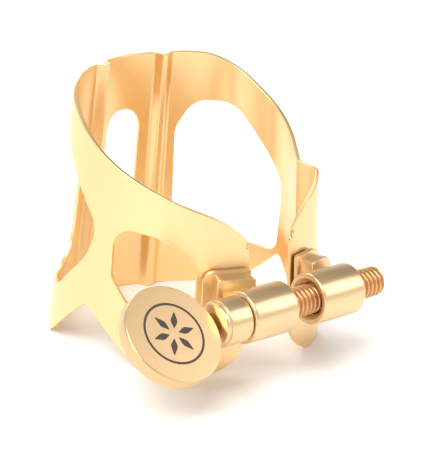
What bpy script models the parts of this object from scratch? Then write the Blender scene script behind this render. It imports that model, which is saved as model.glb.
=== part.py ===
"""Single-screw saxophone ligature.

A pierced sheet is rolled into a slightly conical band that is open at the front (-Y).
Two vertical rails pressed into its back (+Y) bear on the reed. A saddle on each free end
carries a round lug: the screw runs plain through the left one and threads into the right one.
Metres, +Z up, and the origin is the middle of the box's underside.
"""

import math

import bmesh
import bpy
from mathutils import Matrix, Vector

MM = 0.001

# Band: the rolled sheet. Angles are degrees round the bore from the middle of the back.
BAND_HEIGHT = 27.8 * MM
BAND_THICKNESS = 0.45 * MM
BAND_RADIUS = 12.6 * MM  # middle of the sheet, at the top edge
BAND_TAPER = 0.0614  # growth of the radius for each unit down from the top
END_ANGLE = 168.0  # the free ends, either side of the front gap
FACET_ANGLE = 4.0  # one flat facet of the rolled sheet

# Reed side: drawn in from the circle, with two pressed rails.
REED_DRAW_IN = 1.7 * MM
REED_FLAT_ANGLE = 20.0
REED_BLEND_ANGLE = 68.0
RAIL_HALF_SPACING = 4.4 * MM
RAIL_DEPTH = 1.0 * MM
RAIL_HALF_WIDTH = 1.1 * MM
RAIL_CREST_HALF_WIDTH = 0.3 * MM

# Right wing: pinched in towards the joggle, then stepped out to the front flap.
PINCH_DEPTH = 1.2 * MM
PINCH_START, PINCH_END = 83.0, 123.0
JOGGLE_START, JOGGLE_END = 125.0, 131.0
FLAP_RISE = 0.65 * MM
FLAP_END_RISE = 0.1 * MM

# Windows and edges, in millimetres along the sheet and up from its bottom edge.
TOP_STRIP = 5.8 * MM
BOTTOM_STRIP = 5.6 * MM
FRONT_STRIP = 4.0 * MM
CENTRE_WINDOW_HALF_WIDTH = 2.6 * MM
CENTRE_WINDOW_LENGTH = 13.0 * MM
NOTCH_HEIGHT = 5.9 * MM

# Clamp: saddles, lugs and screw.
SCREW_HEIGHT = 8.2 * MM
SCREW_RADIUS = 1.6 * MM
LUG_RADIUS = 2.75 * MM
LUG_LENGTH = 6.0 * MM
LUG_SPACING = 3.6 * MM  # clear distance between the lugs
LUG_CHAMFER = 0.25 * MM
COUNTERSINK = 0.65 * MM
RUNNING_CLEARANCE = 0.08 * MM
SADDLE_THICKNESS = 0.5 * MM
SADDLE_WIDTH = 4.6 * MM
SADDLE_HALF_HEIGHT = 3.4 * MM
LEFT_SHOULDER = 1.2 * MM  # rounding of the saddle's outer top corner
RIGHT_SHOULDER = 4.2 * MM
NECK_FRONT_SETBACK = 1.1 * MM  # from the screw's axis back to the front of the neck
NECK_WIDTH = 3.6 * MM  # along the sheet, from the saddle's inner edge
NECK_END_INSET = 0.3 * MM
NECK_MARGIN = 0.35 * MM  # plate left showing above and below the neck
COLLAR_RADIUS = 2.45 * MM
COLLAR_LENGTH = 3.2 * MM
DISC_RADIUS = 5.45 * MM
DISC_THICKNESS = 1.6 * MM
DISC_TILT = 48.0  # degrees that its face looks up from the front
TIP_LENGTH = 4.3 * MM  # thread that stands out of the right lug
TIP_CHAMFER = 0.35 * MM
SEAT_GAP = 0.3 * MM  # between brazed neighbours
LUG_CLEARANCE = 0.0216 * MM  # from the saddle's front face to the lug's round side
SCREW_STANDOFF = (BAND_RADIUS + BAND_TAPER * (BAND_HEIGHT - SCREW_HEIGHT) + BAND_THICKNESS / 2
                  + SEAT_GAP + SADDLE_THICKNESS + LUG_CLEARANCE + LUG_RADIUS)  # bore's axis to screw's

GOLD = (0.93, 0.66, 0.33)
LUG_GOLD = (0.83, 0.6, 0.33)
DISC_GOLD = (0.74, 0.5, 0.27)
THREAD_BRASS = (0.69, 0.4, 0.19)

SCREW_AXIS = Vector((0.0, -SCREW_STANDOFF, SCREW_HEIGHT))


def smooth_step(value):
    t = min(max(value, 0.0), 1.0)
    return t * t * (3.0 - 2.0 * t)


def arc_length(angle):
    """Place along the flat sheet, from the middle of the back, of an angle round the bore."""
    return BAND_RADIUS * math.radians(angle)


def rail_angle():
    return math.degrees(math.asin(RAIL_HALF_SPACING / (BAND_RADIUS - REED_DRAW_IN)))


def right_wing_offset(angle):
    """How far the right wing's middle surface leaves the plain round section."""
    if angle <= JOGGLE_START:
        return -PINCH_DEPTH * smooth_step((angle - PINCH_START) / (PINCH_END - PINCH_START))
    if angle <= JOGGLE_END:
        rise = (angle - JOGGLE_START) / (JOGGLE_END - JOGGLE_START)
        return -PINCH_DEPTH + (PINCH_DEPTH + FLAP_RISE) * rise
    fall = smooth_step((angle - JOGGLE_END) / (END_ANGLE - JOGGLE_END))
    return FLAP_RISE + (FLAP_END_RISE - FLAP_RISE) * fall


def section_radius(angle, side, height):
    """Radius of the sheet's middle surface; side is 1 on the right wing, -1 on the left."""
    blend = (REED_BLEND_ANGLE - angle) / (REED_BLEND_ANGLE - REED_FLAT_ANGLE)
    radius = BAND_RADIUS - REED_DRAW_IN * smooth_step(blend)
    off_rail = abs(math.radians(angle - rail_angle())) * (BAND_RADIUS - REED_DRAW_IN)
    flank = (RAIL_HALF_WIDTH - off_rail) / (RAIL_HALF_WIDTH - RAIL_CREST_HALF_WIDTH)
    radius -= RAIL_DEPTH * min(max(flank, 0.0), 1.0)
    if side > 0:
        radius += right_wing_offset(angle)
    return radius + BAND_TAPER * (BAND_HEIGHT - height)


def roll(point):
    """Bend a point of the flat sheet (along, up, outward) into the band."""
    angle = math.degrees(abs(point.x) / BAND_RADIUS)
    side = 1.0 if point.x >= 0 else -1.0
    radius = section_radius(angle, side, point.y) + point.z
    turn = math.radians(angle)
    return Vector((side * radius * math.sin(turn), radius * math.cos(turn), point.y))


def smooth_through(stations, steps):
    """Points along a smooth line through (x, y) stations, as a Catmull-Rom curve."""
    ends = [stations[0]] + stations + [stations[-1]]
    points = []
    for i in range(len(stations) - 1):
        a, b, c, d = (Vector(ends[i + k]) for k in range(4))
        for step in range(steps):
            t = step / steps
            points.append(
                0.5 * (2 * b + (c - a) * t + (2 * a - 5 * b + 4 * c - d) * t**2
                       + (3 * b - a - 3 * c + d) * t**3)
            )
    return points + [Vector(stations[-1])]


def rounded(corners, steps=6):
    """Outline of a polygon whose (x, y, radius) corners are rounded with arcs."""
    points = []
    count = len(corners)
    for i, (x, y, radius) in enumerate(corners):
        here = Vector((x, y))
        before = Vector(corners[i - 1][:2]) - here
        after = Vector(corners[(i + 1) % count][:2]) - here
        if radius <= 0:
            points.append(here)
            continue
        half = before.angle(after) / 2
        reach = min(radius / math.tan(half), 0.49 * before.length, 0.49 * after.length)
        radius = reach * math.tan(half)
        middle = here + (before.normalized() + after.normalized()).normalized() * (radius / math.sin(half))
        first = here + before.normalized() * reach - middle
        last = here + after.normalized() * reach - middle
        sweep = first.angle_signed(last)
        for step in range(steps + 1):
            points.append(middle + Matrix.Rotation(-sweep * step / steps, 2) @ first)
    return points


def saddle_top():
    return SCREW_HEIGHT + SADDLE_HALF_HEIGHT


def rim_line():
    """Top edge of the right wing, from the back to the free end, as the sheet is cut."""
    end_top = saddle_top() + 2.9 * MM
    drop = BAND_HEIGHT - end_top
    shares = [(0, 0), (28, 0), (40, 0.004), (52, 0.03), (66, 0.13), (82, 0.3), (98, 0.45), (116, 0.59),
              (132, 0.7), (148, 0.8), (158, 0.885), (166, 1.0)]
    stations = [(arc_length(angle), BAND_HEIGHT - drop * share) for angle, share in shares]
    return smooth_through(stations, 3)


def blank_outline():
    """Whole edge of the flat sheet, with a notch under each side and round front lobes."""
    end = arc_length(END_ANGLE)
    lower = rounded([
        (0.0, 0.0, 0.0),
        (arc_length(65), 0.0, 2.5 * MM),
        (arc_length(94), NOTCH_HEIGHT, 0.9 * MM),
        (arc_length(122), 0.0, 3.0 * MM),
        (end, 0.0, 4.6 * MM),
        (end, saddle_top() + 2.0 * MM, 0.0),
    ])
    half = lower + list(reversed(rim_line()))
    mirrored = [Vector((-p.x, p.y)) for p in reversed(half[1:-1])]
    return half + mirrored


def side_window(side):
    """Large window of one wing; the left one's lower front corner is cut off on the slant."""
    top = BAND_HEIGHT - TOP_STRIP
    low = BOTTOM_STRIP
    middle = low + 0.52 * (top - low)
    corners = [
        (arc_length(34), top - 3.2 * MM, 2.5 * MM),
        (arc_length(43.5), top, 3.0 * MM),
        (arc_length(64), top, 4.0 * MM),
        (arc_length(97), middle, 4.0 * MM),
    ]
    if side > 0:
        corners.append((arc_length(91.5), low, 1.9 * MM))
    else:
        corners += [(arc_length(90), low + 4.9 * MM, 4.0 * MM), (arc_length(69), low, 3.0 * MM)]
    corners.append((arc_length(35.5), low, 4.0 * MM))
    return [Vector((side * p.x, p.y)) for p in rounded(corners)]


def front_window():
    """Lower window of the left wing, between its column and the saddle."""
    inner = arc_length(END_ANGLE) - SADDLE_WIDTH - 0.7 * MM
    top = saddle_top() + 3.4 * MM
    corners = [
        (arc_length(105.5), top, 2.0 * MM),
        (arc_length(127), top - 0.5 * MM, 4.0 * MM),
        (inner, saddle_top() + 0.4 * MM, 1.8 * MM),
        (inner, FRONT_STRIP, 1.8 * MM),
        (arc_length(125), FRONT_STRIP, 2.0 * MM),
        (arc_length(106), FRONT_STRIP + 5.4 * MM, 1.8 * MM),
    ]
    return [Vector((-p.x, p.y)) for p in rounded(corners)]


def centre_window():
    half = CENTRE_WINDOW_HALF_WIDTH
    top = BAND_HEIGHT - 6.3 * MM
    low = top - CENTRE_WINDOW_LENGTH
    radius = 0.9 * half
    return rounded([(-half, top, radius), (half, top, radius), (half, low, radius), (-half, low, radius)])


def make_material(name, color, roughness):
    material = bpy.data.materials.new(name)
    material.use_nodes = True
    shader = material.node_tree.nodes["Principled BSDF"]
    shader.inputs["Base Color"].default_value = (*color, 1.0)
    shader.inputs["Metallic"].default_value = 1.0
    shader.inputs["Roughness"].default_value = roughness
    return material


def make_object(name, mesh, collection, material=None):
    obj = bpy.data.objects.new(name, mesh)
    collection.objects.link(obj)
    if material:
        mesh.materials.append(material)
    return obj


def flat_sheet(outlines, thickness, collection):
    """Closed flat plate with the first outline as its edge and the others as holes."""
    curve = bpy.data.curves.new("blank", "CURVE")
    curve.dimensions = "2D"
    curve.fill_mode = "BOTH"
    curve.extrude = thickness / 2
    for outline in outlines:
        spline = curve.splines.new("POLY")
        spline.points.add(len(outline) - 1)
        for point, place in zip(spline.points, outline):
            point.co = (place.x, place.y, 0.0, 1.0)
        spline.use_cyclic_u = True
    guide = bpy.data.objects.new("blank", curve)
    collection.objects.link(guide)
    bpy.context.view_layer.update()
    evaluated = guide.evaluated_get(bpy.context.evaluated_depsgraph_get())
    mesh = bpy.data.meshes.new_from_object(evaluated)
    bpy.data.objects.remove(guide)
    return mesh


def fold_lines():
    """Places along the sheet where it folds: even facets, and the edges of rails and joggle."""
    half_facets = round(END_ANGLE / FACET_ANGLE)
    lines = [arc_length(FACET_ANGLE) * i for i in range(-half_facets + 1, half_facets)]
    crest = BAND_RADIUS / (BAND_RADIUS - REED_DRAW_IN)
    for side in (-1, 1):
        rail = arc_length(rail_angle())
        for reach in (RAIL_HALF_WIDTH, RAIL_CREST_HALF_WIDTH):
            lines += [side * (rail - reach * crest), side * (rail + reach * crest)]
    lines += [arc_length(JOGGLE_START), arc_length(JOGGLE_END)]
    clear = arc_length(0.4)
    kept = []
    for line in sorted(lines, key=lambda place: (place in lines[:2 * half_facets - 1], place)):
        if all(abs(line - other) > clear for other in kept):
            kept.append(line)
    return sorted(kept)


def rolled_plate(name, outlines, thickness, lift, collection, material):
    """Flat plate, folded at the fold lines and rolled; lift moves it outward off the band."""
    mesh = flat_sheet(outlines, thickness, collection)
    bm = bmesh.new()
    bm.from_mesh(mesh)
    bmesh.ops.remove_doubles(bm, verts=bm.verts, dist=1e-7)
    lines = fold_lines()
    for line in lines:
        geometry = bm.verts[:] + bm.edges[:] + bm.faces[:]
        bmesh.ops.bisect_plane(bm, geom=geometry, dist=1e-8, plane_co=(line, 0, 0), plane_no=(1, 0, 0))
    inside = []
    for edge in bm.edges:
        a, b = (vert.co for vert in edge.verts)
        flat = all(abs(face.normal.z) > 0.9 for face in edge.link_faces)
        on_line = abs(a.x - b.x) < 1e-7 and any(abs(a.x - line) < 1e-7 for line in lines)
        if flat and not on_line:
            inside.append(edge)
    bmesh.ops.dissolve_edges(bm, edges=inside, use_verts=True)
    for vert in bm.verts:
        vert.co.z += lift
        vert.co = roll(vert.co)
    bmesh.ops.recalc_face_normals(bm, faces=bm.faces)
    bm.to_mesh(mesh)
    bm.free()
    mesh.name = name
    return make_object(name, mesh, collection, material)


def turned(name, profile, collection, material, steps=40):
    """Body turned about X: profile is (distance along, radius) from its far end to its near end."""
    mesh = bpy.data.meshes.new(name)
    count = len(profile)
    closed = profile[0][1] > 0
    edges = [(i, i + 1) for i in range(count - 1)] + ([(count - 1, 0)] if closed else [])
    mesh.from_pydata([(radius, 0.0, along) for along, radius in profile], edges, [])
    obj = make_object(name, mesh, collection, material)
    obj.rotation_euler = (0.0, math.pi / 2, 0.0)
    screw = obj.modifiers.new("turn", "SCREW")
    screw.steps = screw.render_steps = steps
    screw.use_merge_vertices = True
    screw.merge_threshold = 1e-6
    return obj


def bore_radius(shaft_radius, steps=40):
    """Corner radius of a faceted bore that clears a faceted shaft at every turn."""
    return (shaft_radius + RUNNING_CLEARANCE) / math.cos(math.pi / steps)


def hide_cutter(obj):
    obj.hide_render = True
    obj.display_type = "WIRE"


def make_band(parts, material):
    outlines = [blank_outline(), side_window(1), side_window(-1), front_window(), centre_window()]
    return rolled_plate("band", outlines, BAND_THICKNESS, 0.0, parts, material)


def make_saddle(side, parts, cutters, material):
    """Curved plate on one flap with a neck that seats the lug."""
    name = "right_saddle" if side > 0 else "left_saddle"
    end = arc_length(END_ANGLE) - 0.2 * MM
    low, top = SCREW_HEIGHT - SADDLE_HALF_HEIGHT, saddle_top()
    shoulder = RIGHT_SHOULDER if side > 0 else LEFT_SHOULDER
    corners = [(end - SADDLE_WIDTH, low, 1.0 * MM), (end, low, 0.5 * MM), (end, top, 0.3 * MM),
               (end - SADDLE_WIDTH, top, shoulder)]
    outline = [Vector((side * p.x, p.y)) for p in rounded(corners, 4)]
    lift = (BAND_THICKNESS + SADDLE_THICKNESS) / 2 + SEAT_GAP
    saddle = rolled_plate(name, [outline], SADDLE_THICKNESS, lift, parts, material)

    base = BAND_THICKNESS / 2 + SEAT_GAP + SADDLE_THICKNESS / 2
    front = SCREW_STANDOFF - NECK_FRONT_SETBACK - section_radius(END_ANGLE, side, SCREW_HEIGHT)
    foot, head = low + NECK_MARGIN, top - NECK_MARGIN
    inner = end - NECK_END_INSET
    corners = [(end - NECK_WIDTH, foot, 0.0), (inner, foot, 0.0), (inner, head, 0.0),
               (end - NECK_WIDTH, head, shoulder - LEFT_SHOULDER)]
    outline = [Vector((side * p.x, p.y)) for p in rounded(corners)]
    neck = rolled_plate(name + "_neck", [outline], front - base, (front + base) / 2, cutters, None)
    hide_cutter(neck)

    join = saddle.modifiers.new("neck", "BOOLEAN")
    join.operation = "UNION"
    join.object = neck
    seat = make_cylinder(name + "_seat", LUG_RADIUS + SEAT_GAP, 4 * LUG_LENGTH, cutters)
    seat.location = SCREW_AXIS
    seat.rotation_euler = (0.0, math.pi / 2, 0.0)
    hide_cutter(seat)
    cut = saddle.modifiers.new("lug_seat", "BOOLEAN")
    cut.object = seat
    return saddle


def make_cylinder(name, radius, length, collection, material=None, segments=40):
    mesh = bpy.data.meshes.new(name)
    bm = bmesh.new()
    bmesh.ops.create_cone(bm, cap_ends=True, segments=segments, radius1=radius, radius2=radius, depth=length)
    bm.to_mesh(mesh)
    bm.free()
    return make_object(name, mesh, collection, material)


def lug_profile(near, far, near_bore):
    """Chamfered sleeve from far to near; near_bore widens the mouth at its near end."""
    bore = bore_radius(SCREW_RADIUS)
    return [
        (far, bore),
        (far, LUG_RADIUS - LUG_CHAMFER),
        (far - LUG_CHAMFER, LUG_RADIUS),
        (near + LUG_CHAMFER, LUG_RADIUS),
        (near, LUG_RADIUS - LUG_CHAMFER),
        (near, bore + near_bore),
        (near + near_bore, bore),
    ]


def make_lugs(parts, material):
    reach = LUG_SPACING / 2
    plain = lug_profile(-reach - LUG_LENGTH, -reach, 0.15 * MM)
    threaded = lug_profile(reach, reach + LUG_LENGTH, COUNTERSINK)
    lugs = [turned("plain_lug", plain, parts, material), turned("threaded_lug", threaded, parts, material)]
    for lug in lugs:
        lug.location = SCREW_AXIS
    return lugs


def collar_span():
    right = -LUG_SPACING / 2 - LUG_LENGTH - SEAT_GAP
    return right - COLLAR_LENGTH, right


def make_collar(parts, material):
    left, right = collar_span()
    neck_bore = bore_radius(neck_radius())
    groove = 0.2 * MM
    profile = [
        (right, neck_bore),
        (right, COLLAR_RADIUS - LUG_CHAMFER),
        (right - LUG_CHAMFER, COLLAR_RADIUS),
        (left + 2.2 * groove, COLLAR_RADIUS),
        (left + 2.2 * groove, COLLAR_RADIUS - groove),
        (left + groove, COLLAR_RADIUS - groove),
        (left, COLLAR_RADIUS - 2 * groove),
        (left, neck_bore),
    ]
    return turned("thrust_collar", profile, parts, material)


def neck_radius():
    return SCREW_RADIUS - 0.4 * MM


def make_shank(parts, material):
    """Threaded shank at its crest diameter, with a neck through the collar and a chamfered tip."""
    left, right = collar_span()
    tip = LUG_SPACING / 2 + LUG_LENGTH + TIP_LENGTH
    shoulder = right + SEAT_GAP
    profile = [
        (tip, 0.0),
        (tip, SCREW_RADIUS - TIP_CHAMFER),
        (tip - TIP_CHAMFER, SCREW_RADIUS),
        (shoulder, SCREW_RADIUS),
        (shoulder, neck_radius()),
        (left, neck_radius()),
        (left, 0.0),
    ]
    return turned("screw_shank", profile, parts, material)


def make_disc(parts, material):
    """Thumb disc: a coin whose plane holds the screw's axis, brazed to the neck's end."""
    left = collar_span()[0]
    disc = make_cylinder("thumb_disc", DISC_RADIUS, DISC_THICKNESS, parts, material, 56)
    disc.location = (left - SEAT_GAP - DISC_RADIUS, 0.0, 0.0)
    disc.rotation_euler = (math.radians(90.0 - DISC_TILT), 0.0, 0.0)
    bevel = disc.modifiers.new("edge", "BEVEL")
    bevel.width = 0.3 * MM
    bevel.segments = 2
    bevel.limit_method = "ANGLE"
    return disc


def lowest_and_highest(objects):
    graph = bpy.context.evaluated_depsgraph_get()
    corners = []
    for obj in objects:
        evaluated = obj.evaluated_get(graph)
        corners += [evaluated.matrix_world @ vert.co for vert in evaluated.data.vertices]
    low = Vector(min(c[i] for c in corners) for i in range(3))
    high = Vector(max(c[i] for c in corners) for i in range(3))
    return low, high


def main():
    for obj in list(bpy.data.objects):
        bpy.data.objects.remove(obj, do_unlink=True)
    parts = bpy.data.collections.new("saxophone_ligature")
    cutters = bpy.data.collections.new("cutters")
    for collection in (parts, cutters):
        bpy.context.scene.collection.children.link(collection)

    band_gold = make_material("band_gold", GOLD, 0.12)
    lug_gold = make_material("lug_gold", LUG_GOLD, 0.12)
    disc_gold = make_material("disc_gold", DISC_GOLD, 0.3)
    thread_brass = make_material("thread_brass", THREAD_BRASS, 0.3)

    fixed = [make_band(parts, band_gold)]
    fixed += [make_saddle(side, parts, cutters, lug_gold) for side in (-1, 1)]
    fixed += make_lugs(parts, lug_gold)

    travel = bpy.data.objects.new("screw_travel", None)
    turn = bpy.data.objects.new("screw_turn", None)
    frame = bpy.data.objects.new("ligature", None)
    for empty in (frame, travel, turn):
        parts.objects.link(empty)
    travel.parent = frame
    travel.location = SCREW_AXIS
    turn.parent = travel
    collar = make_collar(parts, lug_gold)
    collar.parent = travel
    spinning = [make_shank(parts, thread_brass), make_disc(parts, disc_gold)]
    for piece in spinning:
        piece.parent = turn
    for piece in fixed + list(cutters.objects):
        piece.parent = frame

    bpy.context.view_layer.update()
    low, high = lowest_and_highest(fixed + [collar] + spinning)
    frame.location = (-(low.x + high.x) / 2, -(low.y + high.y) / 2, -low.z)
    bpy.context.view_layer.update()


main()
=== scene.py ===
"""Saxophone ligature in polished gold lacquer, on a pale studio floor.

Each operator makes one piece, or one pair of like pieces, in the place that the fixed frame gives.
Metres, +Z up.
"""

import math

import bmesh
import bpy
from bpy.props import FloatProperty, FloatVectorProperty, IntProperty, PointerProperty
from mathutils import Matrix, Vector


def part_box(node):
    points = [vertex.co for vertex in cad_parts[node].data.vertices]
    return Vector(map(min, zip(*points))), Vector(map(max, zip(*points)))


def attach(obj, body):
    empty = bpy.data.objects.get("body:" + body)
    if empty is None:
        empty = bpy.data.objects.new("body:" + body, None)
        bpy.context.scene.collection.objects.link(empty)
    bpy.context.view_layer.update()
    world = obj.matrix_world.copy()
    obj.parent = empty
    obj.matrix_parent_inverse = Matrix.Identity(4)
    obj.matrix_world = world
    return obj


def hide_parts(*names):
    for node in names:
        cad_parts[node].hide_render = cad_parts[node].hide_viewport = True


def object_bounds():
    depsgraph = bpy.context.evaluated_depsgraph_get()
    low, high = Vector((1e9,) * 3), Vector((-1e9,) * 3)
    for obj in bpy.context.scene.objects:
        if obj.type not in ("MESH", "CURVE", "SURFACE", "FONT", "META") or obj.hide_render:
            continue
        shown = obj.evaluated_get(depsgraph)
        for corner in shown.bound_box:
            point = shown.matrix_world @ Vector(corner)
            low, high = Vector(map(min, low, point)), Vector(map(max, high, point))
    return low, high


bl_info = {
    "name": "Saxophone Ligature",
    "version": (1, 0, 0),
    "blender": (4, 5, 0),
    "location": "View3D > Sidebar > Ligature",
    "description": "Builds a polished single-screw saxophone ligature piece by piece",
    "category": "Add Mesh",
}

MM = 0.001
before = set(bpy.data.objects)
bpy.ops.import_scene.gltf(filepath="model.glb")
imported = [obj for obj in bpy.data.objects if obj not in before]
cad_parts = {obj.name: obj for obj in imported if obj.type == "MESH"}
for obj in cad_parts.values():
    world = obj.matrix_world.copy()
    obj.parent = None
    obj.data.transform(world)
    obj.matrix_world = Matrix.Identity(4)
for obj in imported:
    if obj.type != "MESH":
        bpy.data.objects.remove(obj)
CAD_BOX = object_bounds()


def middle(node):
    low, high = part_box(node)
    return (low + high) / 2


SCREW_AXIS = middle("screw_shank")
BORE_X = (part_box("plain_lug")[1].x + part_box("threaded_lug")[0].x) / 2
BAND_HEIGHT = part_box("band")[1].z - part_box("band")[0].z
CREST_RADIUS = (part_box("screw_shank")[1].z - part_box("screw_shank")[0].z) / 2

DRAW_IN_EDGE = 68.0  # degrees from the middle of the back where the reed side starts to be drawn in
DRAW_IN_SPREAD = 48.0
RAIL_HALF_WIDTH = 1.15 * MM
RAIL_FLANK = 0.95 * MM
PINCH_START = 83.0  # degrees, on the right wing
PINCH_SPREAD = 40.0
JOGGLE_START = 124.5
JOGGLE_SPREAD = 7.0
FLAP_SPREAD = 36.5
FLAP_END_RISE = 0.1 * MM
FOLD_STEP = 0.35  # degrees between fold lines at the rails and the joggle
LEAST_FOLD_STEP = 0.15
RIM_OVER_SADDLE = 2.9 * MM
CENTRE_HALF_WIDTH = 2.6 * MM
CENTRE_TOP_STRIP = 6.3 * MM
CENTRE_LENGTH = 13.0 * MM
RUNNING_CLEARANCE = 0.08 * MM  # between the thread's crests and a bore
TOP_STRIP = 5.8 * MM  # sheet left above the side windows
BOTTOM_STRIP = 5.6 * MM  # sheet left below the side windows
FRONT_STRIP = 4.0 * MM  # sheet left below the front window
SADDLE_WIDTH = 4.6 * MM
SADDLE_THICKNESS = 0.5 * MM
SADDLE_PLATE = 0.55 * MM  # foot plate with its rounded edges
SADDLE_INSET = 0.2 * MM  # from the sheet's free end
NECK_WIDTH = 3.6 * MM
NECK_MARGIN = 0.35 * MM  # plate left showing above and below the neck
NECK_INSET = 0.3 * MM
NECK_SETBACK = 1.1 * MM  # from the screw's axis back to the front of the neck
SHOULDERS = {-1: 1.2 * MM, 1: 4.2 * MM}  # outer top corner of the left and right saddle
NECK_SHOULDERS = {-1: 0.3 * MM, 1: 3.0 * MM}
RING_RADII = (3.45 * MM, 3.2 * MM)
RING_POINTS = 96
PETALS = 6
INLAY_RISE = 0.02 * MM

# name, place in metres, side of the square in metres, power in watts
SOFTBOXES = (
    ("key_softbox", (-0.25, -0.12, 0.35), 0.3, 1.9),
    ("fill_softbox", (0.3, -0.25, 0.25), 0.25, 0.5),
    ("back_softbox", (0.1, 0.35, 0.3), 0.3, 1.2),
)
SKY_STRENGTH = 0.8
SKY_BANDS = ((0.3, 0.95), (0.45, 0.28), (0.75, 0.35))  # share of the way up, and grey
AIM_RIGHT = 4.0 * MM
AIM_FORWARD = 0.5 * MM
AIM_HEIGHT = 13.0 * MM


# ---------------------------------------------------------------- sizes and colours


class BandSizes(bpy.types.PropertyGroup):
    thickness: FloatProperty(name="Sheet", description="Thickness of the sheet", default=0.45 * MM,
                             unit="LENGTH")
    rim: FloatProperty(name="Rim", description="Rounding of the cut edges", default=0.1 * MM, unit="LENGTH")
    radius: FloatProperty(name="Radius", description="Middle of the sheet at the top edge",
                          default=12.6 * MM, unit="LENGTH")
    taper: FloatProperty(name="Taper", description="Growth of the radius for each unit down", default=0.0614)
    standoff: FloatProperty(name="Standoff", description="From the bore's axis to the screw's axis",
                            default=17.6 * MM, unit="LENGTH")
    end_angle: FloatProperty(name="End", description="Free ends, in degrees from the middle of the back",
                             default=168.0)
    draw_in: FloatProperty(name="Draw-in", description="How far the reed side is drawn in",
                           default=1.7 * MM, unit="LENGTH")
    rail_spacing: FloatProperty(name="Rail", description="From the middle to a rail", default=4.4 * MM,
                                unit="LENGTH")
    rail_depth: FloatProperty(name="Rail depth", description="Depth of the pressed rails", default=1.0 * MM,
                              unit="LENGTH")
    pinch: FloatProperty(name="Pinch", description="How far the right wing is pinched in before its joggle",
                         default=1.2 * MM, unit="LENGTH")
    flap_rise: FloatProperty(name="Flap rise", default=0.65 * MM, unit="LENGTH",
                             description="How far the right flap stands out past its joggle")
    notch: FloatProperty(name="Notch", description="Height of the notch under each side", default=5.9 * MM,
                         unit="LENGTH")


class ScrewSizes(bpy.types.PropertyGroup):
    pitch: FloatProperty(name="Pitch", description="Pitch of the thread", default=0.6 * MM, unit="LENGTH")
    thread_depth: FloatProperty(name="Thread depth", description="From crest to root", default=0.33 * MM,
                                unit="LENGTH")
    disc_tilt: FloatProperty(name="Disc tilt", description="Degrees that the disc's face looks up",
                             default=48.0)
    disc_radius: FloatProperty(name="Disc", description="Radius of the thumb disc", default=5.45 * MM,
                               unit="LENGTH")
    disc_thickness: FloatProperty(name="Disc thickness", description="Thickness of the thumb disc",
                                  default=1.6 * MM, unit="LENGTH")
    segments: IntProperty(name="Segments", description="Facets round each turned piece", default=128)


class Finishes(bpy.types.PropertyGroup):
    band: FloatVectorProperty(name="Band", description="Gold lacquer of the band", subtype="COLOR",
                              default=(0.93, 0.58, 0.22))
    lug: FloatVectorProperty(name="Lugs", description="Gold of the turned pieces", subtype="COLOR",
                             default=(0.93, 0.62, 0.27))
    disc: FloatVectorProperty(name="Disc", description="Satin gold of the thumb disc", subtype="COLOR",
                              default=(0.72, 0.43, 0.18))
    thread: FloatVectorProperty(name="Thread", description="Copper-toned thread", subtype="COLOR",
                                default=(0.8, 0.45, 0.18))
    mark: FloatVectorProperty(name="Mark", description="Dark etched mark", subtype="COLOR",
                              default=(0.05, 0.035, 0.03))


class StageLook(bpy.types.PropertyGroup):
    floor: FloatVectorProperty(name="Floor", description="Colour of the floor", subtype="COLOR",
                               default=(0.95, 0.95, 0.95))
    distance: FloatProperty(name="Distance", description="From the camera to its aim", default=0.26,
                            unit="LENGTH")
    azimuth: FloatProperty(name="Azimuth", description="Degrees that the camera stands left of the front",
                           default=43.1)
    elevation: FloatProperty(name="Elevation", description="Degrees that the camera looks down", default=19.4)
    roll: FloatProperty(name="Roll", description="Degrees that the camera leans to its left", default=3.6)
    lens: FloatProperty(name="Lens", description="Focal length in millimetres", default=195.5)


class LigatureSettings(bpy.types.PropertyGroup):
    band: PointerProperty(type=BandSizes)
    screw: PointerProperty(type=ScrewSizes)
    finish: PointerProperty(type=Finishes)
    stage: PointerProperty(type=StageLook)


def settings():
    return bpy.context.scene.ligature


# ---------------------------------------------------------------- small helpers


def smooth_step(value):
    t = min(max(value, 0.0), 1.0)
    return t * t * (3.0 - 2.0 * t)


def deselect_all():
    for obj in bpy.context.selected_objects:
        obj.select_set(False)


def activate(obj):
    deselect_all()
    obj.select_set(True)
    bpy.context.view_layer.objects.active = obj


def flatten_shading(obj):
    """Lets the broad faces keep their own normals next to small rounded edges."""
    weighted = obj.modifiers.new("weighted", "WEIGHTED_NORMAL")
    weighted.keep_sharp = True
    weighted.weight = 100
    apply_modifiers(obj)


def apply_modifiers(obj):
    activate(obj)
    for modifier in list(obj.modifiers):
        bpy.ops.object.modifier_apply(modifier=modifier.name)


def settle(obj, body, slot, material, *nodes):
    """Leaves a finished piece at the origin with its place in its mesh, riding on its body."""
    activate(obj)
    bpy.ops.object.transform_apply(location=True, rotation=True, scale=True)
    if material is not None:
        obj.data.materials.clear()
        obj.data.materials.append(material)
    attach(obj, body)
    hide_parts(*nodes)
    return obj


def rounded(corners, steps=12):
    """Outline of a polygon whose (x, y, radius) corners are rounded with arcs."""
    points = []
    count = len(corners)
    for i, (x, y, radius) in enumerate(corners):
        here = Vector((x, y))
        before = Vector(corners[i - 1][:2]) - here
        after = Vector(corners[(i + 1) % count][:2]) - here
        if radius <= 0:
            points.append(here)
            continue
        half = before.angle(after) / 2
        reach = min(radius / math.tan(half), 0.49 * before.length, 0.49 * after.length)
        radius = reach * math.tan(half)
        centre = here + (before.normalized() + after.normalized()).normalized() * (radius / math.sin(half))
        first = here + before.normalized() * reach - centre
        last = here + after.normalized() * reach - centre
        sweep = first.angle_signed(last)
        for step in range(steps + 1):
            points.append(centre + Matrix.Rotation(-sweep * step / steps, 2) @ first)
    return points


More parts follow.
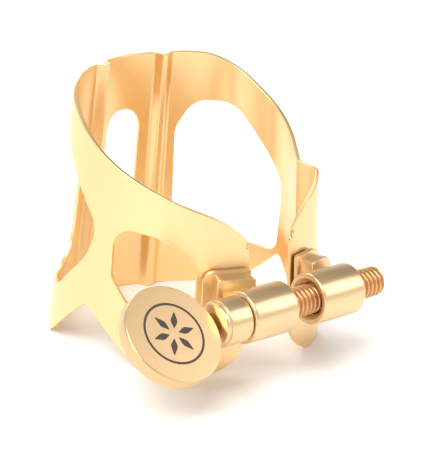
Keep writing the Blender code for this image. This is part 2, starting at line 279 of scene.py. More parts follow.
def smooth_through(stations, steps):
    """Points along a smooth line through (x, y) stations, as a Catmull-Rom curve."""
    ends = [stations[0]] + stations + [stations[-1]]
    points = []
    for i in range(len(stations) - 1):
        a, b, c, d = (Vector(ends[i + k]) for k in range(4))
        for step in range(steps):
            t = step / steps
            points.append(
                0.5 * (2 * b + (c - a) * t + (2 * a - 5 * b + 4 * c - d) * t**2
                       + (3 * b - a - 3 * c + d) * t**3)
            )
    return points + [Vector(stations[-1])]


# ---------------------------------------------------------------- materials


def new_group(name, inputs, outputs):
    """Empty shader group; inputs are (name, kind, default) and outputs are (name, kind)."""
    group = bpy.data.node_groups.new(name, "ShaderNodeTree")
    for label, kind, default in inputs:
        socket = group.interface.new_socket(label, in_out="INPUT", socket_type="NodeSocket" + kind)
        socket.default_value = default
    for label, kind in outputs:
        group.interface.new_socket(label, in_out="OUTPUT", socket_type="NodeSocket" + kind)
    return group, group.nodes.new("NodeGroupInput"), group.nodes.new("NodeGroupOutput")


def polish_group():
    """Lacquer that is a little uneven: its gloss drifts, its tone deepens, and hairlines cross it."""
    if "Polish" in bpy.data.node_groups:
        return bpy.data.node_groups["Polish"]
    inputs = [
        ("Color", "Color", (1, 1, 1, 1)),
        ("Deep", "Color", (1, 1, 1, 1)),
        ("Roughness", "Float", 0.1),
        ("Drift", "Float", 0.05),
        ("Ripple", "Float", 0.02),
        ("Hairlines", "Float", 0.02),
    ]
    outputs = [("Color", "Color"), ("Roughness", "Float"), ("Normal", "Vector")]
    group, given, result = new_group("Polish", inputs, outputs)
    add, link = group.nodes.new, group.links.new
    place = add("ShaderNodeTexCoord")

    cloud = add("ShaderNodeTexNoise")
    cloud.inputs["Scale"].default_value = 180.0
    cloud.inputs["Detail"].default_value = 3.0
    link(place.outputs["Object"], cloud.inputs["Vector"])
    tone = add("ShaderNodeMix")
    tone.data_type = "RGBA"
    link(cloud.outputs["Fac"], tone.inputs[0])
    link(given.outputs["Color"], tone.inputs[6])
    link(given.outputs["Deep"], tone.inputs[7])
    link(tone.outputs[2], result.inputs["Color"])

    haze = add("ShaderNodeTexNoise")
    haze.inputs["Scale"].default_value = 700.0
    haze.inputs["Detail"].default_value = 5.0
    link(place.outputs["Object"], haze.inputs["Vector"])
    gloss = add("ShaderNodeMath")
    gloss.operation = "MULTIPLY_ADD"
    link(haze.outputs["Fac"], gloss.inputs[0])
    link(given.outputs["Drift"], gloss.inputs[1])
    link(given.outputs["Roughness"], gloss.inputs[2])
    link(gloss.outputs[0], result.inputs["Roughness"])

    stretch = add("ShaderNodeMapping")
    stretch.inputs["Scale"].default_value = (900.0, 900.0, 9000.0)
    link(place.outputs["Object"], stretch.inputs["Vector"])
    lines = add("ShaderNodeTexNoise")
    lines.inputs["Scale"].default_value = 1.0
    lines.inputs["Detail"].default_value = 2.0
    link(stretch.outputs["Vector"], lines.inputs["Vector"])
    scratch = add("ShaderNodeBump")
    scratch.inputs["Distance"].default_value = 0.00001
    link(given.outputs["Hairlines"], scratch.inputs["Strength"])
    link(lines.outputs["Fac"], scratch.inputs["Height"])
    wave = add("ShaderNodeBump")
    wave.inputs["Distance"].default_value = 0.0001
    link(given.outputs["Ripple"], wave.inputs["Strength"])
    link(cloud.outputs["Fac"], wave.inputs["Height"])
    link(scratch.outputs["Normal"], wave.inputs["Normal"])
    link(wave.outputs["Normal"], result.inputs["Normal"])
    return group


def pores_group():
    """Fine dark pits and stains scattered over cast or lapped metal."""
    if "Pores" in bpy.data.node_groups:
        return bpy.data.node_groups["Pores"]
    inputs = [("Color", "Color", (1, 1, 1, 1)), ("Stain", "Color", (0.3, 0.1, 0.03, 1)),
              ("Size", "Float", 0.1), ("Amount", "Float", 0.5)]
    group, given, result = new_group("Pores", inputs, [("Color", "Color"), ("Mask", "Float")])
    add, link = group.nodes.new, group.links.new
    place = add("ShaderNodeTexCoord")
    cells = add("ShaderNodeTexVoronoi")
    cells.inputs["Scale"].default_value = 2600.0
    link(place.outputs["Object"], cells.inputs["Vector"])
    dots = add("ShaderNodeMath")
    dots.operation = "LESS_THAN"
    link(cells.outputs["Distance"], dots.inputs[0])
    link(given.outputs["Size"], dots.inputs[1])
    patches = add("ShaderNodeTexNoise")
    patches.inputs["Scale"].default_value = 420.0
    link(place.outputs["Object"], patches.inputs["Vector"])
    chosen = add("ShaderNodeMapRange")
    chosen.inputs["From Min"].default_value = 0.5
    chosen.inputs["From Max"].default_value = 0.7
    link(patches.outputs["Fac"], chosen.inputs["Value"])
    both = add("ShaderNodeMath")
    both.operation = "MULTIPLY"
    link(dots.outputs[0], both.inputs[0])
    link(chosen.outputs["Result"], both.inputs[1])
    scaled = add("ShaderNodeMath")
    scaled.operation = "MULTIPLY"
    link(both.outputs[0], scaled.inputs[0])
    link(given.outputs["Amount"], scaled.inputs[1])
    mix = add("ShaderNodeMix")
    mix.data_type = "RGBA"
    link(scaled.outputs[0], mix.inputs[0])
    link(given.outputs["Color"], mix.inputs[6])
    link(given.outputs["Stain"], mix.inputs[7])
    link(mix.outputs[2], result.inputs["Color"])
    link(scaled.outputs[0], result.inputs["Mask"])
    return group


def gold(name, color, roughness, drift, ripple, hairlines, pores=0.0, deepen=0.9):
    """Polished metal: the shared polish, and pores where the finish has them."""
    if name in bpy.data.materials:
        return bpy.data.materials[name]
    material = bpy.data.materials.new(name)
    material.use_nodes = True
    tree = material.node_tree
    shader = tree.nodes["Principled BSDF"]
    shader.inputs["Metallic"].default_value = 1.0
    polish = tree.nodes.new("ShaderNodeGroup")
    polish.node_tree = polish_group()
    polish.inputs["Color"].default_value = (*color, 1.0)
    deep = (color[0] * deepen, color[1] * deepen**2, color[2] * deepen**3)
    polish.inputs["Deep"].default_value = (*deep, 1.0)
    polish.inputs["Roughness"].default_value = roughness
    polish.inputs["Drift"].default_value = drift
    polish.inputs["Ripple"].default_value = ripple
    polish.inputs["Hairlines"].default_value = hairlines
    tree.links.new(polish.outputs["Roughness"], shader.inputs["Roughness"])
    tree.links.new(polish.outputs["Normal"], shader.inputs["Normal"])
    if pores:
        pits = tree.nodes.new("ShaderNodeGroup")
        pits.node_tree = pores_group()
        pits.inputs["Amount"].default_value = pores
        tree.links.new(polish.outputs["Color"], pits.inputs["Color"])
        tree.links.new(pits.outputs["Color"], shader.inputs["Base Color"])
    else:
        tree.links.new(polish.outputs["Color"], shader.inputs["Base Color"])
    return material


def band_gold():
    return gold("band_gold", settings().finish.band, 0.025, 0.025, 0.03, 0.02, deepen=0.97)


def lug_gold():
    return gold("lug_gold", settings().finish.lug, 0.04, 0.04, 0.03, 0.06, deepen=0.95)


def disc_gold():
    return gold("disc_gold", settings().finish.disc, 0.3, 0.12, 0.1, 0.5, pores=0.8)


def thread_brass():
    return gold("thread_brass", settings().finish.thread, 0.16, 0.12, 0.05, 0.2)


def mark_black():
    """Dark etched stroke, slightly rough."""
    if "etched_mark" in bpy.data.materials:
        return bpy.data.materials["etched_mark"]
    material = bpy.data.materials.new("etched_mark")
    material.use_nodes = True
    tree = material.node_tree
    shader = tree.nodes["Principled BSDF"]
    shader.inputs["Metallic"].default_value = 0.3
    polish = tree.nodes.new("ShaderNodeGroup")
    polish.node_tree = polish_group()
    color = settings().finish.mark
    polish.inputs["Color"].default_value = (*color, 1.0)
    polish.inputs["Deep"].default_value = (color[0] * 2, color[1] * 2, color[2] * 2, 1.0)
    polish.inputs["Roughness"].default_value = 0.45
    polish.inputs["Drift"].default_value = 0.2
    tree.links.new(polish.outputs["Color"], shader.inputs["Base Color"])
    tree.links.new(polish.outputs["Roughness"], shader.inputs["Roughness"])
    return material


# ---------------------------------------------------------------- rolled sheet


def arc_length(angle):
    return settings().band.radius * math.radians(angle)


def rail_angle():
    sizes = settings().band
    return math.degrees(math.asin(sizes.rail_spacing / (sizes.radius - sizes.draw_in)))


def right_wing_offset(angle):
    sizes = settings().band
    joggle_end = JOGGLE_START + JOGGLE_SPREAD
    if angle <= JOGGLE_START:
        return -sizes.pinch * smooth_step((angle - PINCH_START) / PINCH_SPREAD)
    if angle <= joggle_end:
        climb = smooth_step((angle - JOGGLE_START) / JOGGLE_SPREAD)
        return -sizes.pinch + (sizes.pinch + sizes.flap_rise) * climb
    fall = smooth_step((angle - joggle_end) / FLAP_SPREAD)
    return sizes.flap_rise + (FLAP_END_RISE - sizes.flap_rise) * fall


def section_radius(angle, side, up):
    """Radius of the sheet's middle surface; side is 1 on the right wing, -1 on the left."""
    sizes = settings().band
    radius = sizes.radius - sizes.draw_in * smooth_step((DRAW_IN_EDGE - angle) / DRAW_IN_SPREAD)
    off_rail = abs(math.radians(angle - rail_angle())) * (sizes.radius - sizes.draw_in)
    radius -= sizes.rail_depth * smooth_step((RAIL_HALF_WIDTH - off_rail) / RAIL_FLANK)
    if side > 0:
        radius += right_wing_offset(angle)
    return radius + sizes.taper * (BAND_HEIGHT - up)


def roll(point):
    """Bend a point of the flat sheet (along, up, outward) into the band, in its place."""
    sizes = settings().band
    angle = math.degrees(abs(point.x) / sizes.radius)
    side = 1.0 if point.x >= 0 else -1.0
    radius = section_radius(angle, side, point.y) + point.z
    turn = math.radians(angle)
    axis_y = SCREW_AXIS.y + sizes.standoff
    return Vector((BORE_X + side * radius * math.sin(turn), axis_y + radius * math.cos(turn), point.y))


def rolled_normal(point, normal):
    """The same bend for a surface normal, through the bend's own slopes."""
    step = 1e-6
    axes = [Vector((step, 0, 0)), Vector((0, step, 0)), Vector((0, 0, step))]
    slopes = [(roll(point + axis) - roll(point - axis)) / (2 * step) for axis in axes]
    bend = Matrix(slopes).transposed()
    return (bend.inverted().transposed() @ normal).normalized()


def fold_lines():
    """Places along the sheet where it bends, closer together at the rails and the joggle."""
    angles = [i * 1.0 for i in range(-167, 168)]
    for side in (-1, 1):
        angles += [side * (rail_angle() + i * FOLD_STEP) for i in range(-20, 21)]
    angles += [124 + i * FOLD_STEP for i in range(24)]
    kept = []
    for angle in sorted(angles):
        if not kept or angle - kept[-1] > LEAST_FOLD_STEP:
            kept.append(angle)
    return [arc_length(angle) for angle in kept]


def add_outlines(curve, outlines):
    """One closed straight-sided spline for each outline."""
    for outline in outlines:
        spline = curve.splines.new("POLY")
        spline.points.add(len(outline) - 1)
        for point, place in zip(spline.points, outline):
            point.co = (place.x, place.y, 0.0, 1.0)
        spline.use_cyclic_u = True


def flat_sheet(outlines, thickness, rim):
    """Closed flat plate with rounded cut edges; the first outline is its edge, the others are holes."""
    curve = bpy.data.curves.new("blank", "CURVE")
    curve.dimensions = "2D"
    curve.fill_mode = "BOTH"
    curve.extrude = thickness / 2 - rim
    curve.bevel_depth = rim
    curve.bevel_resolution = 2
    curve.offset = -rim
    add_outlines(curve, outlines)
    blank = bpy.data.objects.new("blank", curve)
    bpy.context.scene.collection.objects.link(blank)
    activate(blank)
    bpy.ops.object.convert(target="MESH")
    return bpy.context.view_layer.objects.active


def rolled_plate(name, outlines, thickness, rim, lift):
    """Flat plate, folded at the fold lines and rolled; lift moves it outward off the band."""
    obj = flat_sheet(outlines, thickness, rim)
    obj.name = name
    mesh = obj.data
    bm = bmesh.new()
    bm.from_mesh(mesh)
    bmesh.ops.remove_doubles(bm, verts=bm.verts, dist=1e-7)
    low = min(vert.co.x for vert in bm.verts)
    high = max(vert.co.x for vert in bm.verts)
    lines = [line for line in fold_lines() if low < line < high]
    ahead = [(max(v.co.x for v in face.verts), min(v.co.x for v in face.verts), face) for face in bm.faces]
    for line in lines:
        ahead = [entry for entry in ahead if entry[0] > line]
        geometry = set()
        for _, left, face in ahead:
            if left < line:
                geometry.add(face)
                geometry.update(face.edges)
                geometry.update(face.verts)
        ahead = [entry for entry in ahead if entry[1] >= line]
        cut = bmesh.ops.bisect_plane(bm, geom=list(geometry), dist=1e-8, plane_co=(line, 0, 0),
                                     plane_no=(1, 0, 0))
        for face in cut["geom"]:
            if isinstance(face, bmesh.types.BMFace):
                places = [v.co.x for v in face.verts]
                if max(places) > line + 1e-8:
                    ahead.append((max(places), line, face))
    spots = set(round(line * 1e7) for line in lines)
    inside = []
    for edge in bm.edges:
        a, b = (vert.co for vert in edge.verts)
        flat = all(abs(face.normal.z) > 0.999 for face in edge.link_faces)
        on_line = abs(a.x - b.x) < 1e-7 and any(round(a.x * 1e7) + d in spots for d in (-1, 0, 1))
        if flat and not on_line:
            inside.append(edge)
    bmesh.ops.dissolve_edges(bm, edges=inside, use_verts=True)
    bm.normal_update()
    half = thickness / 2
    normals = []
    for vert in bm.verts:
        side = Vector((vert.normal.x, vert.normal.y, 0.0))
        rise = min(max((abs(vert.co.z) - (half - rim)) / rim, 0.0), 1.0)
        lean = math.asin(rise) if rise < 0.999 else math.pi / 2
        sign = 1.0 if vert.co.z > 0 else -1.0
        side = side.normalized() if side.length > 1e-6 else Vector((0.0, 0.0, 0.0))
        normal = side * math.cos(lean) + Vector((0, 0, sign)) * math.sin(lean)
        place = Vector((vert.co.x, vert.co.y, vert.co.z + lift))
        normals.append(rolled_normal(place, normal))
        vert.co = roll(place)
    bmesh.ops.reverse_faces(bm, faces=bm.faces)
    bm.to_mesh(mesh)
    bm.free()
    for face in mesh.polygons:
        face.use_smooth = True
    mesh.normals_split_custom_set_from_vertices(normals)
    return obj


def saddle_span():
    """Lowest and highest place of the saddles."""
    low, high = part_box("left_saddle")
    return low.z, high.z


def rim_line():
    """Top edge of one wing, from the back to the free end, as the sheet is cut."""
    end_top = saddle_span()[1] + RIM_OVER_SADDLE
    drop = BAND_HEIGHT - end_top
    shares = [(0, 0), (28, 0), (40, 0.004), (52, 0.03), (66, 0.13), (82, 0.3), (98, 0.45), (116, 0.59),
              (132, 0.7), (148, 0.8), (158, 0.885), (166, 1.0)]
    stations = [(arc_length(angle), BAND_HEIGHT - drop * share) for angle, share in shares]
    return smooth_through(stations, 8)


def blank_outline():
    """Whole edge of the flat sheet, with a notch under each side and round front lobes."""
    sizes = settings().band
    end = arc_length(sizes.end_angle)
    lower = rounded([
        (0.0, 0.0, 0.0),
        (arc_length(65), 0.0, 2.5 * MM),
        (arc_length(94), sizes.notch, 0.9 * MM),
        (arc_length(122), 0.0, 3.0 * MM),
        (end, 0.0, 4.6 * MM),
        (end, saddle_span()[1] + 2.0 * MM, 0.3 * MM),
    ])
    half = lower + list(reversed(rim_line()))
    mirrored = [Vector((-p.x, p.y)) for p in reversed(half[1:-1])]
    return half + mirrored


def side_window(side):
    """Large window of one wing; the left one's lower front corner is cut off on the slant."""
    top = BAND_HEIGHT - TOP_STRIP
    low = BOTTOM_STRIP
    waist = low + 0.52 * (top - low)
    corners = [
        (arc_length(34), top - 3.2 * MM, 2.5 * MM),
        (arc_length(43.5), top, 3.0 * MM),
        (arc_length(64), top, 4.0 * MM),
        (arc_length(97), waist, 4.0 * MM),
    ]
    if side > 0:
        corners.append((arc_length(91.5), low, 1.9 * MM))
    else:
        corners += [(arc_length(90), low + 4.9 * MM, 4.0 * MM), (arc_length(69), low, 3.0 * MM)]
    corners.append((arc_length(35.5), low, 4.0 * MM))
    return [Vector((side * p.x, p.y)) for p in rounded(corners)]


def front_window():
    """Lower window of the left wing, between its column and the saddle."""
    saddle_top = saddle_span()[1]
    inner = arc_length(settings().band.end_angle) - 5.3 * MM
    corners = [
        (arc_length(105.5), saddle_top + 3.4 * MM, 2.0 * MM),
        (arc_length(127), saddle_top + 2.9 * MM, 4.0 * MM),
        (inner, saddle_top + 0.4 * MM, 1.8 * MM),
        (inner, FRONT_STRIP, 1.8 * MM),
        (arc_length(125), FRONT_STRIP, 2.0 * MM),
        (arc_length(106), 9.4 * MM, 1.8 * MM),
    ]
    return [Vector((-p.x, p.y)) for p in rounded(corners)]


def centre_window():
    half = CENTRE_HALF_WIDTH
    top = BAND_HEIGHT - CENTRE_TOP_STRIP
    low = top - CENTRE_LENGTH
    radius = 0.9 * half
    return rounded([(-half, top, radius), (half, top, radius), (half, low, radius), (-half, low, radius)])


class LIGATURE_OT_band(bpy.types.Operator):
    """Pierced sheet, rolled and pressed, in mirror-polished gold"""

    bl_idname = "ligature.band"
    bl_label = "Band"

    def execute(self, context):
        sizes = settings().band
        outlines = [blank_outline(), side_window(1), side_window(-1), front_window(), centre_window()]
        band = rolled_plate("rolled_band", outlines, sizes.thickness, sizes.rim, 0.0)
        settle(band, "frame", "band_gold", band_gold(), "band")
        return {"FINISHED"}


# ---------------------------------------------------------------- saddles


class LIGATURE_OT_saddles(bpy.types.Operator):
    """Foot plate and seat block that carry each lug"""

    bl_idname = "ligature.saddles"
    bl_label = "Saddles"

    def execute(self, context):
        for side, name in ((-1, "left_saddle"), (1, "right_saddle")):
            saddle = self.foot(side, name)
            self.add_neck(saddle, side)
            settle(saddle, "frame", "lug_gold", lug_gold(), name)
        return {"FINISHED"}

    @staticmethod
    def foot(side, name):
        low, top = saddle_span()
        end = arc_length(settings().band.end_angle) - SADDLE_INSET
        corners = [(end - SADDLE_WIDTH, low, 1.0 * MM), (end, low, 0.5 * MM), (end, top, 0.3 * MM),
                   (end - SADDLE_WIDTH, top, SHOULDERS[side])]
        outline = [Vector((side * p.x, p.y)) for p in rounded(corners)]
        lift = settings().band.thickness / 2 + SADDLE_THICKNESS
        return rolled_plate(name + "_piece", [outline], SADDLE_PLATE, 0.12 * MM, lift)

    @staticmethod
    def add_neck(saddle, side):
        low, top = saddle_span()
        end = arc_length(settings().band.end_angle) - SADDLE_INSET
        base = settings().band.thickness / 2 + SADDLE_THICKNESS
        radius = section_radius(settings().band.end_angle, side, SCREW_AXIS.z)
        front = settings().band.standoff - NECK_SETBACK - radius
        foot, head = low + NECK_MARGIN, top - NECK_MARGIN
        inner, outer = end - NECK_INSET, end - NECK_WIDTH
        corners = [(outer, foot, 0.3 * MM), (inner, foot, 0.3 * MM), (inner, head, 0.3 * MM),
                   (outer, head, NECK_SHOULDERS[side])]
        outline = [Vector((side * p.x, p.y)) for p in rounded(corners, 4)]
        neck = rolled_plate("neck", [outline], front - base, 0.1 * MM, (front + base) / 2)
        activate(neck)
        bpy.ops.mesh.primitive_cylinder_add(
            vertices=96,
            radius=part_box("plain_lug")[1].z - SCREW_AXIS.z - 0.03 * MM,
            depth=40 * MM,
            location=SCREW_AXIS,
            rotation=(0.0, math.pi / 2, 0.0),
        )
        seat = bpy.context.active_object
        cut = neck.modifiers.new("seat", "BOOLEAN")
        cut.object = seat
        apply_modifiers(neck)
        bpy.data.objects.remove(seat)
        deselect_all()
        neck.select_set(True)
        saddle.select_set(True)
        bpy.context.view_layer.objects.active = saddle
        bpy.ops.object.join()


# ---------------------------------------------------------------- turned pieces


def turned(name, profile):
    """Closed body turned about X through the screw's axis.

    profile is a closed ring of (place along X, radius, corner radius) corners.
    """
    points = rounded(profile, 6)
    mesh = bpy.data.meshes.new(name)
    count = len(points)
    edges = [(i, (i + 1) % count) for i in range(count)]
    mesh.from_pydata([(p.y, 0.0, p.x) for p in points], edges, [])
    obj = bpy.data.objects.new(name, mesh)
    bpy.context.scene.collection.objects.link(obj)
    obj.rotation_euler = (0.0, math.pi / 2, 0.0)
    obj.location = (0.0, SCREW_AXIS.y, SCREW_AXIS.z)
    screw = obj.modifiers.new("turn", "SCREW")
    screw.steps = screw.render_steps = settings().screw.segments
    screw.use_merge_vertices = True
    screw.merge_threshold = 1e-7
    apply_modifiers(obj)
    activate(obj)
    bpy.ops.object.transform_apply(location=True, rotation=True, scale=True)
    bpy.ops.object.mode_set(mode="EDIT")
    bpy.ops.mesh.select_all(action="SELECT")
    bpy.ops.mesh.remove_doubles(threshold=1e-7)
    bpy.ops.mesh.normals_make_consistent(inside=False)
    bpy.ops.object.mode_set(mode="OBJECT")
    bpy.ops.object.shade_smooth_by_angle(angle=math.radians(38))
    return obj


class LIGATURE_OT_lugs(bpy.types.Operator):
    """Round lugs: a plain one with a slip bore and a threaded one with a countersink"""

    bl_idname = "ligature.lugs"
    bl_label = "Lugs"

    def execute(self, context):
        bore = CREST_RADIUS + RUNNING_CLEARANCE
        for node, sink_left, sink_right in (("plain_lug", 0.15, 0.15), ("threaded_lug", 0.6, 0.2)):
            low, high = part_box(node)
            outer = (high.z - low.z) / 2
            profile = [
                (high.x, bore + sink_right * MM, 0.03 * MM),
                (high.x, outer, 0.28 * MM),
                (low.x, outer, 0.28 * MM),
                (low.x, bore + sink_left * MM, 0.03 * MM),
                (low.x + sink_left * MM, bore, 0.03 * MM),
                (high.x - sink_right * MM, bore, 0.03 * MM),
            ]
            settle(turned(node + "_sleeve", profile), "frame", "lug_gold", lug_gold(), node)
        return {"FINISHED"}


class LIGATURE_OT_collar(bpy.types.Operator):
    """Thrust collar with a groove next to the disc"""

    bl_idname = "ligature.collar"
    bl_label = "Collar"

    def execute(self, context):
        low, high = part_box("thrust_collar")
        outer = (high.z - low.z) / 2
        bore = CREST_RADIUS - 0.37 * MM
        profile = [
            (high.x + 0.2 * MM, bore, 0.0),
            (high.x + 0.2 * MM, outer, 0.2 * MM),
            (low.x + 0.5 * MM, outer, 0.12 * MM),
            (low.x + 0.45 * MM, outer - 0.2 * MM, 0.05 * MM),
            (low.x + 0.15 * MM, outer - 0.2 * MM, 0.1 * MM),
            (low.x, outer - 0.3 * MM, 0.08 * MM),
            (low.x, bore, 0.0),
        ]
        settle(turned("grooved_collar", profile), "screw_carriage", "lug_gold", lug_gold(), "thrust_collar")
        return {"FINISHED"}


class LIGATURE_OT_shank(bpy.types.Operator):
    """Shank with its thread cut as a real helix"""

    bl_idname = "ligature.shank"
    bl_label = "Screw shank"

    def execute(self, context):
        low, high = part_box("screw_shank")
        collar_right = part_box("thrust_collar")[1].x
        segments = 64
        rings = round((high.x - low.x) / (settings().screw.pitch / 12))
        deselect_all()
        bpy.ops.mesh.primitive_grid_add(x_subdivisions=rings, y_subdivisions=segments, size=1.0)
        shank = bpy.context.active_object
        shank.name = "threaded_shank"
        for vert in shank.data.vertices:
            along = low.x + (high.x - low.x) * (vert.co.x + 0.5)
            turn = vert.co.y + 0.5
            radius = self.radius(along, turn, collar_right, high.x)
            angle = 2 * math.pi * turn
            vert.co = Vector((along, SCREW_AXIS.y - radius * math.cos(angle),
                              SCREW_AXIS.z - radius * math.sin(angle)))
        bpy.ops.object.mode_set(mode="EDIT")
        bpy.ops.mesh.select_all(action="SELECT")
        bpy.ops.mesh.remove_doubles(threshold=1e-7)
        bpy.ops.mesh.select_all(action="DESELECT")
        bpy.ops.mesh.select_non_manifold()
        bpy.ops.mesh.fill_holes(sides=0)
        bpy.ops.mesh.select_all(action="SELECT")
        bpy.ops.mesh.normals_make_consistent(inside=False)
        bpy.ops.object.mode_set(mode="OBJECT")
        bpy.ops.object.shade_smooth_by_angle(angle=math.radians(50))
        settle(shank, "thumb_screw", "thread_brass", thread_brass(), "screw_shank")
        return {"FINISHED"}

    @staticmethod
    def radius(along, turn, collar_right, tip):
        """Radius of the shank at a place along it and a share of a turn round it."""
        sizes = settings().screw
        crest = CREST_RADIUS
        if along < collar_right:
            return crest - 0.4 * MM
        phase = ((along - tip) / sizes.pitch - turn) % 1.0
        height = min(max(1.35 - 2.7 * abs(phase - 0.5) * 1.15, 0.0), 1.0)
        thread = crest - sizes.thread_depth * (1.0 - smooth_step(height))
        chamfer = crest - 0.45 * MM + (tip - along)
        return min(thread, chamfer)


class LIGATURE_OT_disc(bpy.types.Operator):
    """Thumb disc with a plain etched emblem on its face"""

    bl_idname = "ligature.disc"
    bl_label = "Thumb disc"

    def execute(self, context):
        sizes = settings().screw
        half = sizes.disc_thickness / 2
        deselect_all()
        bpy.ops.mesh.primitive_cylinder_add(vertices=180, radius=sizes.disc_radius, depth=2 * half)
        disc = bpy.context.active_object
        disc.name = "coin_disc"
        rim = disc.modifiers.new("rim", "BEVEL")
        rim.width = 0.14 * MM
        rim.segments = 4
        rim.limit_method = "ANGLE"
        apply_modifiers(disc)
        disc.data.materials.append(disc_gold())
        emblem = self.emblem(half)
        deselect_all()
        emblem.select_set(True)
        disc.select_set(True)
        bpy.context.view_layer.objects.active = disc
        bpy.ops.object.join()
        disc.location = middle("thumb_disc")
        disc.rotation_euler = (math.radians(90.0 - sizes.disc_tilt), 0.0, 0.0)
        activate(disc)
        bpy.ops.object.shade_smooth_by_angle(angle=math.radians(35))
        flatten_shading(disc)
        settle(disc, "thumb_screw", "disc_gold", None, "thumb_disc")
        return {"FINISHED"}

    @staticmethod
    def emblem(half):
        """Dark inlay a hair proud of the face: a ring round a plain rosette of six petals."""
        curve = bpy.data.curves.new("emblem", "CURVE")
        curve.dimensions = "2D"
        curve.fill_mode = "BOTH"
        curve.extrude = INLAY_RISE
        outlines = []
        for radius in RING_RADII:
            turns = [i * math.tau / RING_POINTS for i in range(RING_POINTS)]
            outlines.append([Vector((radius * math.cos(turn), radius * math.sin(turn))) for turn in turns])
        petal = rounded([(0.55 * MM, 0.0, 0.05 * MM), (1.45 * MM, -0.42 * MM, 0.7 * MM),
                         (2.6 * MM, 0.0, 0.05 * MM), (1.45 * MM, 0.42 * MM, 0.7 * MM)], 8)
        for turn in range(PETALS):
            spin = Matrix.Rotation(turn * math.tau / PETALS, 2)
            outlines.append([spin @ point for point in petal])
        add_outlines(curve, outlines)
        inlay = bpy.data.objects.new("emblem", curve)
        bpy.context.scene.collection.objects.link(inlay)
        activate(inlay)
        bpy.ops.object.convert(target="MESH")
        inlay = bpy.context.view_layer.objects.active
        bpy.ops.object.mode_set(mode="EDIT")
        bpy.ops.mesh.select_all(action="SELECT")
        bpy.ops.mesh.remove_doubles(threshold=1e-7)
        bpy.ops.mesh.normals_make_consistent(inside=False)
        bpy.ops.object.mode_set(mode="OBJECT")
        for vert in inlay.data.vertices:
            vert.co.z += half
        inlay.data.materials.clear()
        inlay.data.materials.append(mark_black())
        return inlay


# ---------------------------------------------------------------- stage


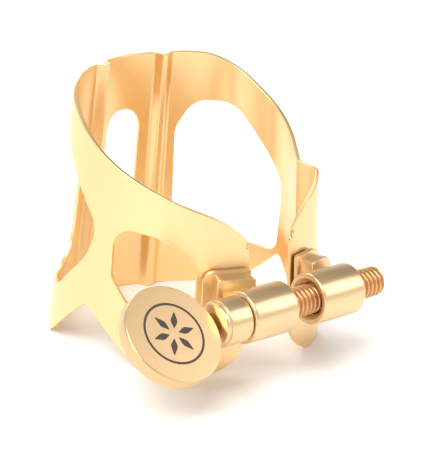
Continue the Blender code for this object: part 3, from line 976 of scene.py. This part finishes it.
class LIGATURE_OT_stage(bpy.types.Operator):
    """Pale floor, soft studio light and the camera"""

    bl_idname = "ligature.stage"
    bl_label = "Stage"

    def execute(self, context):
        look = settings().stage
        self.floor(look)
        self.world()
        for softbox in SOFTBOXES:
            self.light(*softbox)
        self.camera(look)
        return {"FINISHED"}

    @staticmethod
    def floor(look):
        deselect_all()
        bpy.ops.mesh.primitive_plane_add(size=3.0, location=(0, 0, 0))
        floor = bpy.context.active_object
        floor.name = "floor"
        material = bpy.data.materials.new("floor_paper")
        material.use_nodes = True
        shader = material.node_tree.nodes["Principled BSDF"]
        shader.inputs["Base Color"].default_value = (*look.floor, 1.0)
        shader.inputs["Roughness"].default_value = 0.7
        floor.data.materials.append(material)

    @staticmethod
    def world():
        world = bpy.data.worlds.new("studio")
        bpy.context.scene.world = world
        world.use_nodes = True
        tree = world.node_tree
        back = tree.nodes["Background"]
        back.inputs["Strength"].default_value = SKY_STRENGTH
        direction = tree.nodes.new("ShaderNodeTexCoord")
        split = tree.nodes.new("ShaderNodeSeparateXYZ")
        ramp = tree.nodes.new("ShaderNodeValToRGB")
        tree.links.new(direction.outputs["Generated"], split.inputs[0])
        tree.links.new(split.outputs["Z"], ramp.inputs[0])
        tree.links.new(ramp.outputs[0], back.inputs["Color"])
        ramp.color_ramp.elements[0].position = 0.0
        ramp.color_ramp.elements[0].color = (1.0, 1.0, 1.0, 1.0)
        ramp.color_ramp.elements[1].position = 1.0
        ramp.color_ramp.elements[1].color = (0.9, 0.9, 0.9, 1.0)
        for position, grey in SKY_BANDS:
            ramp.color_ramp.elements.new(position).color = (grey, grey, grey, 1.0)

    @staticmethod
    def light(name, place, size, power):
        data = bpy.data.lights.new(name, "AREA")
        data.shape = "SQUARE"
        data.size = size
        data.energy = power
        lamp = bpy.data.objects.new(name, data)
        bpy.context.scene.collection.objects.link(lamp)
        lamp.location = place
        lamp.rotation_euler = (-Vector(place)).to_track_quat("-Z", "Y").to_euler()

    @staticmethod
    def camera(look):
        """Stands on the aim's front left; the aim is the middle of the picture."""
        low, high = CAD_BOX
        aim = Vector(((low.x + high.x) / 2 + AIM_RIGHT, (low.y + high.y) / 2 - AIM_FORWARD, AIM_HEIGHT))
        turn, drop = math.radians(look.azimuth), math.radians(look.elevation)
        back = Vector((-math.sin(turn) * math.cos(drop), -math.cos(turn) * math.cos(drop), math.sin(drop)))
        data = bpy.data.cameras.new("camera")
        data.lens = look.lens
        data.clip_start = 0.01
        camera = bpy.data.objects.new("camera", data)
        bpy.context.scene.collection.objects.link(camera)
        camera.location = aim + back * look.distance
        stand = (-back).to_track_quat("-Z", "Y").to_matrix().to_4x4()
        camera.rotation_euler = (stand @ Matrix.Rotation(math.radians(look.roll), 4, "Z")).to_euler()
        bpy.context.scene.camera = camera
        bpy.context.scene.view_settings.view_transform = "Standard"


# ---------------------------------------------------------------- panel and run


class LIGATURE_PT_panel(bpy.types.Panel):
    bl_label = "Saxophone Ligature"
    bl_idname = "LIGATURE_PT_panel"
    bl_space_type = "VIEW_3D"
    bl_region_type = "UI"
    bl_category = "Ligature"

    def draw(self, context):
        column = self.layout.column()
        for operator in OPERATORS:
            column.operator(operator.bl_idname)
        for group in (settings().band, settings().screw, settings().finish, settings().stage):
            for name in group.__annotations__:
                column.prop(group, name)


OPERATORS = (
    LIGATURE_OT_band,
    LIGATURE_OT_saddles,
    LIGATURE_OT_lugs,
    LIGATURE_OT_collar,
    LIGATURE_OT_shank,
    LIGATURE_OT_disc,
    LIGATURE_OT_stage,
)
CLASSES = (BandSizes, ScrewSizes, Finishes, StageLook, LigatureSettings, *OPERATORS, LIGATURE_PT_panel)


def register():
    for cls in CLASSES:
        bpy.utils.register_class(cls)
    bpy.types.Scene.ligature = PointerProperty(type=LigatureSettings)


def unregister():
    del bpy.types.Scene.ligature
    for cls in reversed(CLASSES):
        bpy.utils.unregister_class(cls)


def main():
    register()
    bpy.ops.ligature.band()
    bpy.ops.ligature.saddles()
    bpy.ops.ligature.lugs()
    bpy.ops.ligature.collar()
    bpy.ops.ligature.shank()
    bpy.ops.ligature.disc()
    bpy.ops.ligature.stage()
    bpy.context.view_layer.update()


if __name__ == "__main__":
    main()
